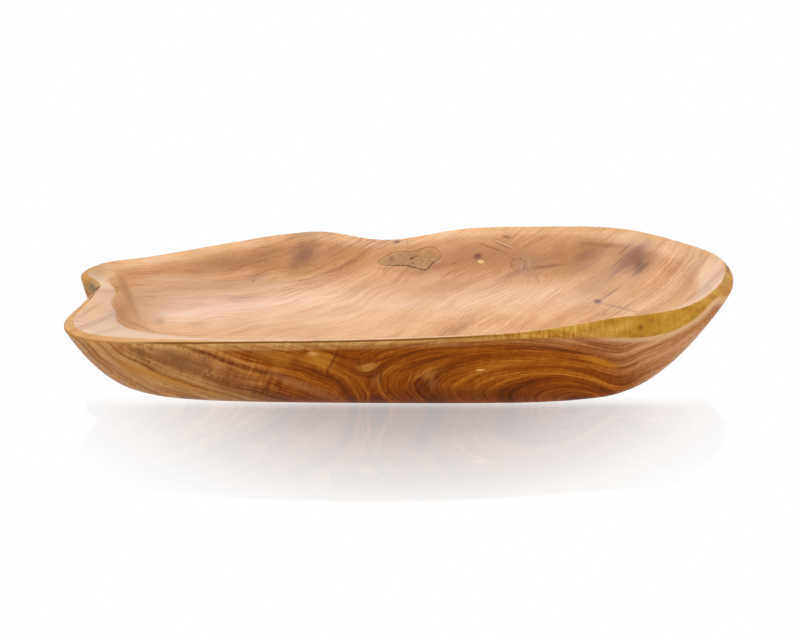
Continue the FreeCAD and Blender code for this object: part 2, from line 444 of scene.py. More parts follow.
class Bench:
    """The node tree of one material."""

    def __init__(self, name):
        self.material = bpy.data.materials.new(name)
        self.material.use_nodes = True
        self.tree = self.material.node_tree
        self.tree.nodes.clear()

    def node(self, kind, settings=None, inputs=None, output=0):
        """Adds a node: its settings first, then the values or links of its sockets. Gives one output."""
        made = self.tree.nodes.new(kind)
        for key, value in (settings or {}).items():
            if key == "stops":
                self._stops(made.color_ramp, value)
            else:
                setattr(made, key, value)
        for key, value in (inputs or {}).items():
            socket = self._socket(made.inputs, key)
            if isinstance(value, Wire):
                self.tree.links.new(value.socket, socket)
            elif isinstance(value, tuple) and len(value) == 3 and socket.type == "RGBA":
                socket.default_value = (*value, 1.0)
            else:
                socket.default_value = value
        return Wire(self, self._socket(made.outputs, output)) if made.outputs else made

    @staticmethod
    def _socket(sockets, key):
        if isinstance(key, int):
            return sockets[key]
        found = [s for s in sockets if s.identifier == key] or [s for s in sockets if s.name == key]
        if not found:
            raise KeyError(key)
        return found[0]

    @staticmethod
    def _stops(ramp, stops):
        while len(ramp.elements) > 1:
            ramp.elements.remove(ramp.elements[-1])
        for index, (place, colour) in enumerate(stops):
            element = ramp.elements[0] if index == 0 else ramp.elements.new(place)
            element.position = place
            element.color = (*colour, 1.0)

    def math(self, operation, *values):
        return self.node("ShaderNodeMath", {"operation": operation}, dict(enumerate(values)))

    def vector(self, x, y, z):
        return self.node("ShaderNodeCombineXYZ", None, {"X": x, "Y": y, "Z": z})

    def place_mm(self):
        """The three parts of a point's place on the piece, in millimetres."""
        where = self.node("ShaderNodeTexCoord", None, None, "Object")
        scaled = self.node("ShaderNodeVectorMath", {"operation": "SCALE"}, {0: where, "Scale": 1000.0})
        parts = self.node("ShaderNodeSeparateXYZ", None, {0: scaled})
        owner = parts.socket.node
        return [Wire(self, owner.outputs[k]) for k in range(3)]

    def kept(self, name):
        """A value kept at the mesh's corners, in millimetres."""
        value = self.node("ShaderNodeAttribute", {"attribute_name": name}, None, "Fac")
        return value * 1000.0

    def noise(self, x, y=0.0, z=0.0, detail=2.0, rough=0.5, skew=0.0):
        """Smooth noise, from 0 to 1 about 0.5, with one swell to each unit."""
        spot = self.vector(x, y, z)
        return self.node(
            "ShaderNodeTexNoise",
            {"noise_dimensions": "3D", "normalize": True},
            {"Vector": spot, "Scale": 1.0, "Detail": detail, "Roughness": rough, "Distortion": skew},
        )

    def mix(self, share, first, second, blend="MIX"):
        """First colour where share is 0, second where it is 1."""
        return self.node(
            "ShaderNodeMix",
            {"data_type": "RGBA", "blend_type": blend, "clamp_factor": True},
            {"Factor_Float": share, "A_Color": first, "B_Color": second},
            "Result_Color",
        )

    def tones(self, share, places, *colours):
        """A colour from a row of screen colours, each at its own place."""
        return self.ramp(share, [(place, linear(*colour)) for place, colour in zip(places, colours)])

    def ramp(self, share, stops):
        """A colour from a row of colours."""
        return self.node("ShaderNodeValToRGB", {"stops": stops}, {"Fac": share}, "Color")

    def spot(self, u, v, centre, radii, soft=0.5, turn=0.0):
        """1 in an oval patch and 0 outside it, with a soft border."""
        du, dv = u - centre[0], v - centre[1]
        c, s = math.cos(math.radians(turn)), math.sin(math.radians(turn))
        a = (du * c + dv * s) / radii[0]
        b = (dv * c - du * s) / radii[1]
        return (a * a + b * b).step(1.0 + soft, max(0.0, 1.0 - soft))

    def finish(self, colour, roughness, height, bump=0.2, distance=0.0003, coat=0.0, coat_roughness=0.1):
        """Closes the material with a lacquered surface."""
        dent = self.node(
            "ShaderNodeBump", None, {"Strength": bump, "Distance": distance, "Height": height}, "Normal"
        )
        inputs = {
            "Base Color": colour,
            "Roughness": roughness,
            "Normal": dent,
            "Coat Weight": coat,
            "Coat Roughness": coat_roughness,
            "IOR": LACQUER_IOR,
            "Specular IOR Level": WOOD_SPECULAR,
        }
        shader = self.node("ShaderNodeBsdfPrincipled", None, inputs)
        self.node("ShaderNodeOutputMaterial", None, {"Surface": shader})
        return self.material


# ------------------------------------------------------------------ wood

# The figure of the wood is laid out on a plane square to the studio camera's own line of sight, and
# tapers as that camera sees it. It is fixed to the wood and doesn't follow the camera.
FIGURE_LEAN = math.radians(17)  # how far the plane leans back, as the camera's height angle
FIGURE_TAPER = 1500.0  # the camera's distance from the plane, in millimetres
MIDDLE_ALONG, MIDDLE_UP = -3.0, 25.2  # the camera's aim on the plane, in millimetres

# Clouds, stains and lines in the hollow's wood, with painted sheen, painted shade and a painted highlight
# among them.
# Each is an oval on the figure plane: its middle along and up, half its length and width, its turn in
# degrees, all in millimetres, then how soft its border is, how much of its colour shows, how far the streaks
# break it up, and the colour.
HOLLOW_MARKS = (
    (-186, 30, 27.0, 22.0, 30, 0.9, 0.50, 0.5, (206, 154, 90)),
    # Painted sheen: two pale pink clouds over the floor of the hollow.
    (-108, 36, 52.0, 14.0, 4, 0.9, 0.45, 0.6, (240, 208, 186)),
    (-146, 38, 30.0, 13.0, 4, 0.9, 0.42, 0.6, (238, 204, 178)),
    # Painted shade: a dark brown patch in the left scoop's deep pocket.
    (-181, 29, 6.5, 6.0, 20, 0.7, 0.62, 0.3, (168, 112, 72)),
    (-176, 41, 15.0, 2.6, -66, 0.8, 0.60, 0.6, (168, 114, 50)),
    # Painted shade: a dark line along the crease at the hollow's left edge.
    (-171, 22.5, 15.0, 0.8, -22, 0.7, 0.55, 0.3, (138, 88, 42)),
    (-156, 24, 3.5, 2.2, 0, 0.8, 0.45, 0.3, (168, 126, 112)),
    (-205, 21, 14.0, 1.3, 22, 0.8, 0.60, 0.5, (166, 108, 46)),
    (-190, 18, 22.0, 1.6, 14, 0.8, 0.50, 0.5, (176, 120, 58)),
    (-195.5, 23.5, 15.0, 0.9, 24, 0.7, 0.60, 0.4, (158, 102, 46)),
    (-188, 28, 14.0, 0.8, 22, 0.7, 0.50, 0.4, (164, 110, 54)),
    (-201, 31, 12.0, 1.2, 34, 0.8, 0.55, 0.5, (170, 114, 54)),
    (-206, 34, 8.0, 1.0, 50, 0.8, 0.55, 0.4, (160, 104, 46)),
    # Painted shade: a broad brown cloud over the left scoop's pocket.
    (-178, 28, 19.0, 12.0, 20, 0.9, 0.50, 0.5, (184, 130, 84)),
    (-199, 56, 9.0, 6.5, 10, 0.5, 0.80, 0.5, (180, 126, 52)),
    (-150, 60, 12.0, 4.0, 4, 0.9, 0.40, 0.6, (190, 126, 68)),
    (-105, 62, 30.0, 5.5, 8, 0.9, 0.60, 0.9, (150, 100, 44)),
    (-84, 69, 14.0, 2.4, 12, 0.9, 0.45, 0.9, (158, 106, 48)),
    (-120, 47, 40.0, 3.6, 4, 0.9, 0.35, 0.9, (180, 130, 70)),
    (-95, 53, 8.0, 2.4, 10, 0.8, 0.40, 0.6, (150, 104, 92)),
    (-64, 66, 11.0, 7.5, 48, 0.9, 0.70, 0.9, (124, 74, 46)),
    (-71, 60, 5.0, 4.0, 20, 0.9, 0.50, 0.9, (112, 70, 56)),
    (-96, 50, 1.0, 0.6, 0, 0.7, 0.42, 0.0, (86, 54, 40)),
    (-66, 50, 0.9, 0.6, 0, 0.7, 0.35, 0.0, (86, 54, 40)),
    (-45, 68, 13.0, 5.0, 24, 0.9, 0.45, 0.9, (160, 102, 58)),
    (-40, 55, 20.0, 3.5, 22, 0.9, 0.35, 0.9, (184, 122, 80)),
    (-30, 64, 12.0, 6.0, 10, 0.9, 0.40, 0.7, (196, 140, 76)),
    (28, 64, 26.0, 8.0, 14, 0.9, 0.50, 0.8, (176, 114, 68)),
    (32, 61.5, 1.8, 0.5, 20, 0.7, 0.60, 0.1, (92, 52, 32)),
    (16, 58, 14.0, 2.0, 16, 0.9, 0.40, 0.9, (160, 98, 66)),
    (60, 66, 26.0, 6.5, 6, 0.9, 0.50, 0.8, (160, 102, 56)),
    (110, 64, 34.0, 10.0, 12, 0.9, 0.34, 0.8, (156, 98, 58)),
    (40, 52, 40.0, 4.0, 20, 0.9, 0.30, 0.9, (176, 112, 58)),
    (46.5, 65.8, 3.0, 2.0, 20, 0.7, 0.85, 0.4, (120, 62, 38)),
    (62, 74.0, 7.6, 1.6, -26, 0.6, 0.45, 0.2, (112, 62, 28)),
    (62.5, 74.0, 8.6, 0.5, -24, 0.6, 0.80, 0.0, (240, 190, 140)),
    (65, 78.0, 3.2, 1.2, -14, 0.8, 0.60, 0.3, (122, 60, 36)),
    (56, 71, 9.0, 0.7, -20, 0.7, 0.50, 0.2, (118, 68, 34)),
    (80, 61, 12.0, 7.0, 0, 0.9, 0.45, 0.5, (166, 120, 84)),
    (77.0, 59.5, 7.5, 6.5, 90, 0.9, 0.30, 0.3, (184, 144, 118)),
    (74.6, 59.6, 5.6, 0.60, 86, 0.9, 0.35, 0.5, (226, 186, 156)),
    (79.6, 59.4, 5.0, 0.60, 96, 0.9, 0.35, 0.5, (222, 180, 150)),
    (92, 59.5, 12.0, 1.4, 8, 0.8, 0.60, 0.6, (126, 70, 42)),
    (68, 54, 12.0, 1.8, 24, 0.8, 0.40, 0.6, (158, 98, 84)),
    (96, 66, 11.0, 4.5, 16, 0.9, 0.40, 0.9, (164, 104, 60)),
    (115, 68, 12.0, 6.5, 28, 0.9, 0.65, 0.9, (142, 84, 50)),
    (126, 73, 15.0, 1.6, -4, 0.8, 0.55, 0.5, (146, 92, 36)),
    (147, 64, 13.0, 9.5, 34, 0.8, 0.75, 0.9, (122, 74, 56)),
    (150, 60, 6.0, 5.0, 40, 0.9, 0.55, 0.9, (98, 58, 54)),
    (130, 53, 22.0, 5.5, 32, 0.9, 0.45, 0.9, (164, 104, 76)),
    (123, 37.0, 3.0, 1.7, 4, 0.7, 0.90, 0.2, (106, 62, 56)),
    (131, 42, 9.5, 0.8, 34, 0.8, 0.60, 0.4, (122, 74, 64)),
    (136, 33.4, 12.0, 0.9, -13, 0.8, 0.50, 0.4, (138, 84, 68)),
    (127, 29, 2.6, 0.5, 38, 0.7, 0.60, 0.1, (96, 62, 50)),
    (184, 54, 14.0, 2.8, 58, 0.9, 0.50, 0.8, (182, 116, 58)),
    # Painted highlight: a pale streak along the inner side of the crest at the right end.
    (192, 56, 14.0, 4.0, 62, 0.9, 0.40, 0.5, (236, 188, 136)),
    (-5, 75, 2.2, 0.9, 12, 0.6, 0.85, 0.1, (92, 58, 58)),
    (2, 74.6, 0.5, 1.7, 0, 0.7, 0.50, 0.1, (124, 84, 78)),
)

# The same for the outside's wood; the last two are painted shade along the bottom.
SIDE_MARKS = (
    (-168, 4.5, 3.2, 6.0, 30, 0.8, 0.60, 0.5, (108, 58, 24)),
    (-146, -0.5, 15.5, 5.6, -16, 0.9, 0.68, 0.55, (112, 60, 26)),
    (-128, -2.5, 5.0, 5.0, -40, 0.9, 0.45, 0.5, (118, 64, 26)),
    (-112, -12.5, 7.5, 9.0, -40, 0.9, 0.55, 0.5, (120, 62, 16)),
    (-92, 5.0, 9.0, 2.4, -6, 0.9, 0.45, 0.8, (130, 78, 40)),
    (-82, 1.0, 14.0, 5.0, -16, 0.9, 0.35, 0.8, (186, 124, 42)),
    (-150, -12.5, 36.0, 2.2, -17, 0.9, 0.62, 0.7, (184, 118, 30)),
    (-176, -6, 18.0, 1.6, -34, 0.9, 0.45, 0.7, (156, 90, 30)),
    (-160, -17, 26.0, 1.8, -24, 0.9, 0.45, 0.7, (190, 138, 88)),
    (-186, -2, 14.0, 2.0, -42, 0.9, 0.40, 0.4, (186, 136, 104)),
    (-93, -8, 12.0, 0.6, -25, 0.8, 0.60, 0.3, (110, 56, 18)),
    (-70, -2.5, 3.6, 3.2, 0, 0.9, 0.60, 0.7, (120, 54, 12)),
    (-54, 0.5, 9.0, 4.6, -14, 0.8, 0.60, 0.7, (198, 132, 44)),
    (-59, 3.6, 3.4, 1.3, -8, 0.8, 0.65, 0.5, (226, 168, 92)),
    (-45, 1.0, 9.5, 0.8, 62, 0.7, 0.68, 0.2, (90, 40, 8)),
    (-49.5, -8.5, 3.6, 0.8, 84, 0.7, 0.55, 0.2, (96, 42, 8)),
    (-30, -4, 14.0, 9.0, 0, 0.9, 0.30, 0.6, (132, 62, 14)),
    (-23, -5.0, 6.6, 3.0, 10, 0.8, 0.60, 0.8, (196, 134, 60)),
    (-19, -12.5, 4.0, 3.4, 80, 0.8, 0.25, 0.8, (170, 108, 60)),
    (-15.5, -11, 4.8, 0.8, 84, 0.7, 0.65, 0.4, (88, 38, 8)),
    (-29, -3, 0.8, 4.0, 10, 0.8, 0.45, 0.5, (100, 46, 10)),
    (-14, 0.4, 16.0, 0.8, 14, 0.8, 0.60, 0.4, (100, 46, 8)),
    (14, -1.6, 20.0, 0.9, 18, 0.8, 0.60, 0.4, (98, 42, 8)),
    (16, -9, 10.0, 3.4, 16, 0.9, 0.45, 0.7, (190, 124, 48)),
    (17, -15, 7.0, 5.0, 70, 0.9, 0.35, 0.8, (168, 108, 60)),
    (-70, -15, 26.0, 2.4, -22, 0.9, 0.40, 0.7, (176, 116, 70)),
    (-33, 10.5, 14.0, 2.0, 2, 0.9, 0.35, 0.6, (166, 98, 28)),
    (48, -6.6, 2.9, 0.45, 6, 0.6, 0.90, 0.0, (236, 190, 120)),
    (124, -1.5, 11.0, 3.0, -18, 0.8, 0.62, 0.5, (194, 116, 14)),
    (36, 8.8, 10.0, 0.9, 2, 0.8, 0.60, 0.3, (130, 70, 36)),
    # Painted shade: two dark bands along the bottom of the side.
    (40, -23, 36.0, 4.4, 0, 0.9, 0.50, 0.5, (96, 40, 8)),
    (96, -22, 30.0, 5.0, 0, 0.9, 0.40, 0.5, (104, 42, 4)),
)

# The same for the flat cut along the rim.
FACET_MARKS = (
    (151, 20.8, 7.0, 4.2, 4, 0.9, 0.50, 0.2, (172, 128, 32)),
    (150, 20.3, 2.6, 2.0, 8, 0.9, 0.75, 0.1, (150, 84, 26)),
    (150, 20.3, 0.8, 0.7, 8, 0.9, 0.60, 0.1, (96, 50, 16)),
    (120, 17.0, 16.0, 2.2, 8, 0.9, 0.45, 0.6, (200, 146, 74)),
    (205, 42.0, 3.0, 9.0, 20, 0.8, 0.60, 0.4, (170, 104, 40)),
    (184, 26.5, 2.6, 2.4, 30, 0.9, 0.65, 0.1, (154, 120, 20)),
    (199, 38, 5.0, 1.3, -30, 0.9, 0.50, 0.3, (166, 104, 22)),
)


# The same for the lobe behind the cleft, over hollow, rim and outside alike.
LOBE_MARKS = (
    (-200, 52, 8.0, 9.5, 0, 0.8, 0.60, 0.4, (188, 136, 66)),
    (-199.5, 47.0, 4.6, 3.4, 10, 0.7, 0.70, 0.4, (146, 122, 82)),
    (-196.0, 45.0, 3.6, 0.8, 38, 0.6, 0.85, 0.2, (84, 52, 26)),
    (-198.5, 40.5, 3.4, 0.7, 46, 0.6, 0.80, 0.2, (92, 56, 26)),
    (-203, 57.0, 5.0, 0.8, 30, 0.6, 0.60, 0.2, (140, 94, 46)),
)


# The filler's open pits: middle along and up, half width and height, and depth, millimetres.
FILLER_PITS = (
    (4.4, 64.4, 1.1, 0.6, 0.5),
    (6.2, 65.2, 0.7, 0.5, 0.5),
    (7.9, 65.9, 0.5, 0.6, 0.4),
    (5.0, 61.4, 0.7, 0.6, 0.4),
    (2.8, 62.8, 0.4, 0.4, 0.3),
    (-8.4, 63.6, 0.6, 0.5, 0.3),
    (19.0, 61.4, 0.9, 0.6, 0.5),
)


def figure_plane(bench):
    """Where a point lies on the figure's plane: along, up and behind it, in millimetres."""
    x, y, z = bench.place_mm()
    up = z * math.cos(FIGURE_LEAN) + y * math.sin(FIGURE_LEAN)
    deep = y * math.cos(FIGURE_LEAN) - z * math.sin(FIGURE_LEAN)
    taper = FIGURE_TAPER / (deep + FIGURE_TAPER + 8)
    return (x - MIDDLE_ALONG) * taper + MIDDLE_ALONG, (up - MIDDLE_UP) * taper + MIDDLE_UP, deep, y, z


def figure_places(points):
    """The same two places, along and up, for an array of points in metres."""
    x, y, z = (points / MM).T
    up = z * math.cos(FIGURE_LEAN) + y * math.sin(FIGURE_LEAN)
    deep = y * math.cos(FIGURE_LEAN) - z * math.sin(FIGURE_LEAN)
    taper = FIGURE_TAPER / (deep + FIGURE_TAPER + 8)
    return (x - MIDDLE_ALONG) * taper + MIDDLE_ALONG, (up - MIDDLE_UP) * taper + MIDDLE_UP


def length(bench, a, b):
    return bench.math("SQRT", a * a + b * b)


def marked(bench, colour, x, up, streak, marks):
    """Lays a row of marks over a colour, broken up by the streaks that they lie in."""
    red = bench.node("ShaderNodeSeparateColor", None, {"Color": colour}, "Red")
    plane = bench.vector(x + (red - 0.5) * 1.5, up, 1.0)
    for along, rise, half_long, half_wide, turn, soft, shown, broken, tint in marks:
        c, s = math.cos(math.radians(turn)), math.sin(math.radians(turn))
        first = (c / half_long, s / half_long, -(along * c + rise * s) / half_long)
        second = (-s / half_wide, c / half_wide, (along * s - rise * c) / half_wide)
        u = bench.node("ShaderNodeVectorMath", {"operation": "DOT_PRODUCT"}, {0: plane, 1: first}, "Value")
        v = bench.node("ShaderNodeVectorMath", {"operation": "DOT_PRODUCT"}, {0: plane, 1: second}, "Value")
        local = bench.vector(u, v, 0.0)
        reach = bench.node("ShaderNodeVectorMath", {"operation": "LENGTH"}, {0: local}, "Value")
        cover = (reach + (streak - 0.5) * (broken * -2.3)).step(1.0 + soft * 0.6, 1.0 - soft) * shown
        colour = bench.mix(cover, colour, linear(*tint))
    return colour


def hollow_colour(bench, x, up, deep):
    """The scooped-out wood: pale salmon, with streaks along wide arcs, painted sheen on its floor and painted
    shade up its back wall.
    """
    swirl = 5.0 * bench.spot(x, up, (77, 59), (13, 9), 0.9) + 4.0 * bench.spot(x, up, (8, 64), (26, 11), 0.9)
    drift = (bench.noise(x / 90, up / 60, deep / 120, 1) - 0.5) * 22
    drift = drift + (bench.noise(x / 22, up / 12, deep / 40, 1) - 0.5) * 3.5
    a = x + 179
    across = length(bench, a, up - 443) + drift + swirl
    along = bench.math("ARCTAN2", a, 443 - up) * 430
    fine = bench.noise(across / 0.75, along / 22, deep / 60, 3, 0.62)
    bands = bench.noise(across / 5.5, along / 75, deep / 150, 2, 0.5)
    clouds = bench.noise(x / 48 + 7, up / 24, deep / 60, 2)
    pores = bench.noise(across / 0.42 + 31, along / 3.2, deep / 5, 1)
    tone = (fine - 0.5) * 0.75 + (bands - 0.5) * (0.75 - 0.2 * x.step(0, 60))
    tone = tone + (clouds - 0.5) * 0.45 + (pores - 0.5) * 0.30 + 0.5
    # Painted sheen: the floor of the hollow is painted paler and pinker, in tone, in the floor colour and
    # with fewer patches.
    floor = bench.spot(x, up, (-50, 33), (150, 17), 0.9, 4)
    # Painted shade: the tone darkens up the back wall.
    tone = tone + 0.06 * floor - 0.03 * up.step(46, 70)
    colour = bench.tones(
        tone,
        (0.10, 0.28, 0.44, 0.56, 0.72, 0.92),
        (132, 80, 44), (178, 120, 70), (208, 152, 100), (222, 168, 118), (236, 190, 146), (246, 214, 178),
    )
    colour = bench.mix(0.28 * floor, colour, chosen("bowl_skin", "floor_sheen_colour"))
    ochre = (bands - 0.5).step(-0.02, 0.16) * (x + up).step(60, -60)
    colour = bench.mix(ochre * 0.28, colour, chosen("bowl_skin", "ochre_colour"))
    patch = bench.noise(x / 30 + 3, up / 13, deep / 40, 2)
    colour = bench.mix((patch - 0.5).step(-0.01, 0.14) * (0.42 - 0.25 * floor), colour, linear(200, 148, 84))
    streak = (fine - 0.5) * 1.2 + (bands - 0.5) * 1.1 + 0.5
    return colour, streak, fine * 0.7 + pores * 0.3


def side_levels(bench, x, up, deep):
    """The outside's growth lines as one height: arches right of the middle, falling lines left of it."""
    drift = (bench.noise(x / 55, up / 24, deep / 90, 1) - 0.5) * 9
    drift = drift + (bench.noise(x / 14, up / 7, deep / 30, 1) - 0.5) * 1.6
    high = up + 27
    lean = x - 118 + high * 1.3
    arch = length(bench, lean.least(0) / 3.6 + lean.most(0) / 2.0, high)
    end_right = (x - 110).most(0) / 97
    tip = up + 38 - 48 * end_right ** 2.2
    end_left = (-150 - x).most(0)
    fall = up + 42 + 0.3 * (x + 30) - 0.006 * end_left * end_left
    mid = x.step(-48, -14)
    right = x.step(118, 152)
    level = fall * (1 - mid) + arch * mid * (1 - right) + tip * right
    return level + drift * (1 - 0.6 * mid)


def side_colour(bench, x, up, deep):
    """The outside: orange brown, tan to the left, rosy to the right end, with painted shade towards the
    bottom.
    """
    level = side_levels(bench, x, up, deep)
    fine = bench.noise(level / 0.7, x / 30, deep / 60, 3, 0.62)
    bands = bench.noise(level / 3.1, x / 110, deep / 150, 2, 0.5)
    wide = bench.noise(level / 8.0 + 5, x / 90, deep / 120, 1)
    pores = bench.noise(level / 0.4 + 31, x / 3.2, deep / 5, 1)
    lean = x - up * 0.42
    curl = bench.noise(lean / 2.3, up / 13 + x / 60, deep / 14, 1, 0.5)
    curled = 0.22 + 0.95 * bench.spot(x, up, (-146, 0), (34, 9), 0.8, -14)
    curled = curled + 0.75 * bench.spot(x, up, (-104, -9), (30, 10), 0.8, -20)
    curled = curled + 0.35 * bench.spot(x, up, (14, -15), (14, 8), 0.8)
    calm = 1 - 0.35 * x.step(90, 30) * x.step(-120, -60)
    tone = (fine - 0.5) * 0.65 + ((bands - 0.5) * 0.70 + (wide - 0.5) * 0.30) * calm
    tone = tone + (pores - 0.5) * 0.25 + (curl - 0.5) * 0.5 * curled + 0.5
    # Painted shade: the tone darkens towards the bottom of the side.
    tone = tone - 0.06 * up.step(-8, -26)
    brown = bench.ramp(
        tone,
        [
            (0.26, linear(88, 36, 0)),
            (0.42, linear(120, 54, 2)),
            (0.52, chosen("bowl_skin", "outside_colour")),
            (0.64, linear(168, 93, 18)),
            (0.80, linear(198, 128, 46)),
        ],
    )
    places = (0.26, 0.42, 0.52, 0.64, 0.80)
    tan = bench.tones(
        tone, places, (128, 76, 34), (164, 108, 56), (182, 128, 72), (198, 148, 92), (210, 164, 108)
    )
    rose = bench.tones(
        tone, places, (136, 76, 38), (166, 104, 58), (184, 124, 76), (200, 146, 98), (216, 168, 122)
    )
    left = (x + up * 1.2).step(-92, -158)
    ends = (x + up * 1.5).step(104, 172)
    shoulder = (up - 2 + x * -0.02).step(0, 10) * x.step(60, 112)
    colour = bench.mix(left, brown, tan)
    colour = bench.mix(ends.most(shoulder * 0.8), colour, rose)
    streak = (fine - 0.5) * 1.0 + (bands - 0.5) * 1.0 + (curl - 0.5) * 1.8 * curled + 0.5
    return colour, streak, fine * 0.6 + pores * 0.2 + curl * 0.2


def facet_colour(bench, x, up, deep, streak):
    """The flat cut along the rim, which shows the wood's ends: ochre to olive."""
    ends = bench.noise(x / 1.6, deep / 9, up / 9, 3, 0.6)
    clouds = bench.noise(x / 16, up / 9, deep / 16, 2)
    tone = (ends - 0.5) * (0.25 + 0.75 * x.step(150, 96)) + (streak - 0.5) * 0.2 + (clouds - 0.5) * 0.55 + 0.5
    return bench.ramp(
        tone,
        [
            (0.28, linear(150, 82, 24)),
            (0.44, linear(180, 124, 40)),
            (0.56, linear(194, 142, 56)),
            (0.74, linear(214, 170, 92)),
        ],
    )


def hollow_wood(bench, x, up, deep):
    """The hollow's wood with all its marks."""
    colour, streak, height = hollow_colour(bench, x, up, deep)
    return marked(bench, colour, x, up, streak, HOLLOW_MARKS), streak, height


def side_wood(bench, x, up, deep):
    """The outside's wood with all its marks."""
    colour, streak, height = side_colour(bench, x, up, deep)
    return marked(bench, colour, x, up, streak, SIDE_MARKS), streak, height


def seamed(bench, colour, x, up, width=0.5):
    """A broken dark line round the set-in pieces, strongest under the filler."""
    gap = bench.kept("seam_gap")
    wobble = bench.noise(x / 1.7, up / 1.3, 0.0, 2)
    line = (gap + (wobble - 0.5) * 2.0).step(width + 0.35, width - 0.35)
    under = bench.spot(x, up, (4, 58), (30, 10), 0.5) * up.step(67, 60) * x.step(-13, -3)
    return bench.mix(line * (0.05 + 0.7 * under), colour, linear(104, 60, 34))


def bowl_finish():
    """The bowl's own wood, inside, rim and outside, under a satin lacquer."""
    bench = Bench("root_wood")
    x, up, deep, y, _ = figure_plane(bench)
    crest, edge = bench.kept("crest_gap"), bench.kept("edge_gap")
    hollow, _, fine_in = hollow_wood(bench, x, up, deep)
    hollow = seamed(bench, hollow, x, up)
    side, streak_out, fine_out = side_wood(bench, x, up, deep)
    facet = facet_colour(bench, x, up, deep, streak_out)
    facet = marked(bench, facet, x, up, streak_out, FACET_MARKS)
    share = edge / (edge - crest).most(0.01)
    dark_at = 0.26 + 0.46 * x.step(-175, -90)
    above = share.step(dark_at, dark_at + 0.16)
    below = share.step(dark_at - 0.20, dark_at - 0.36)
    # Painted highlight: pale wood along the rounded edge, broken by the grain, below the dark line on the lip
    # and in a strip just under the edge.
    pale = bench.mix((streak_out - 0.3).step(0.0, 0.5), linear(172, 116, 58), linear(208, 158, 96))
    lip = bench.mix(above, linear(124, 76, 24), bench.mix(0.5, hollow, chosen("bowl_skin", "crest_colour")))
    lip = bench.mix(below, lip, pale)
    tip = bench.mix(0.35, hollow, linear(196, 142, 78))
    tip = bench.mix(share.step(0.30, 0.0) * 0.6, tip, linear(170, 112, 54))
    lip = bench.mix(x.step(-148, -182), lip, tip)
    narrow = (x.step(100, 20)).most(y.step(0, 20))
    facet = bench.mix(narrow, facet, lip)
    low_edge = edge - 6.5 * x.step(140, 190) * x.step(208, 196)
    # Painted highlight: the pale strip just under the edge, weaker in the middle and stronger at the right
    # end.
    bevel_highlight = low_edge.step(-4.4, -1.6)
    bevel_highlight = bevel_highlight * (0.7 - 0.45 * x.step(-60, 40) + 0.45 * x.step(115, 140))
    side = bench.mix(bevel_highlight, side, bench.mix(x.step(100, 150), pale, linear(220, 174, 128)))
    colour = bench.mix(low_edge.step(-0.6, 0.4), side, facet)
    colour = marked(bench, colour, x, up, streak_out, LOBE_MARKS)
    inside = crest.step(-0.5, 0.4)
    colour = bench.mix(inside, colour, hollow)
    height = fine_in * inside + fine_out * (1 - inside)
    rough = 0.36 + (height - 0.5) * 0.25
    shine = 0.02 + 0.88 * inside
    return bench.finish(colour, rough, height, bump=0.12, coat=shine, coat_roughness=0.28)


def filler_finish():
    """The grey-brown filler in the back wall: wood dust and lacquer, with open pits."""
    bench = Bench("filler")
    x, up, deep, _, _ = figure_plane(bench)
    wood, _, fine = hollow_wood(bench, x, up, deep)
    lumps = bench.noise(x / 2.4, up / 1.7, deep / 2.4, 3, 0.6)
    paste = bench.tones(
        lumps, (0.30, 0.46, 0.60, 0.74), (146, 110, 74), (178, 138, 94), (198, 158, 112), (214, 170, 118)
    )
    grey = bench.spot(x, up, (-2, 62.5), (13, 5), 0.9)
    paste = bench.mix(grey * 0.5, paste, chosen("bowl_set_in", "filler_colour"))
    spot = bench.spot(x, up, (-8, 64), (1.9, 1.9), 0.6)
    paste = bench.mix(spot * 0.6, paste, linear(120, 100, 80))
    fill = bench.mix(0.15 + 0.55 * bench.spot(x, up, (4, 62), (24, 7), 0.9), wood, paste)
    pit = bench.kept("pit_depth")
    # The pits are real dents; their dark colour, deeper with their depth, is painted shade.
    fill = bench.mix((pit + (lumps - 0.5) * 0.25).step(0.10, 0.42), fill, linear(78, 46, 32))
    fill = seamed(bench, fill, x, up)
    return bench.finish(fill, 0.42 + (lumps - 0.5) * 0.3, lumps, bump=0.25, coat=0.35, coat_roughness=0.3)


def pin_finish():
    """The pale end of a small branch."""
    bench = Bench("pale_knot")
    x, up, deep, _, _ = figure_plane(bench)
    reach = length(bench, x - 48.2, (up - 61.8) * 1.5)
    rings = (reach * 5.0 + bench.noise(x, up, 0.0, 2) * 3.0).sin() * 0.5 + 0.5
    colour = bench.mix(rings * 0.5, chosen("bowl_set_in", "pin_colour"), linear(206, 150, 92))
    colour = bench.mix(reach.step(2.2, 3.2) * 0.6, colour, linear(176, 116, 70))
    return bench.finish(colour, 0.36, rings, bump=0.15, coat=0.8, coat_roughness=0.28)


def swirl_finish():
    """A grown-over knot, whose rings stand on end."""
    bench = Bench("grey_knot")
    x, up, deep, _, _ = figure_plane(bench)
    wood, _, _ = hollow_wood(bench, x, up, deep)
    wobble = bench.noise(x / 2.2, up / 3.4, 0.0, 2)
    reach = length(bench, (x - 77.2) * 1.0, (up - 59.3) * 0.52)
    rings = (reach * 4.6 + wobble * 3.2).sin() * 0.5 + 0.5
    colour = bench.mix(rings, linear(160, 112, 80), linear(214, 166, 132))
    colour = bench.mix(reach.step(4.6, 1.2) * 0.6, wood, colour)
    return bench.finish(colour, 0.38, rings, bump=0.2, coat=0.8, coat_roughness=0.28)


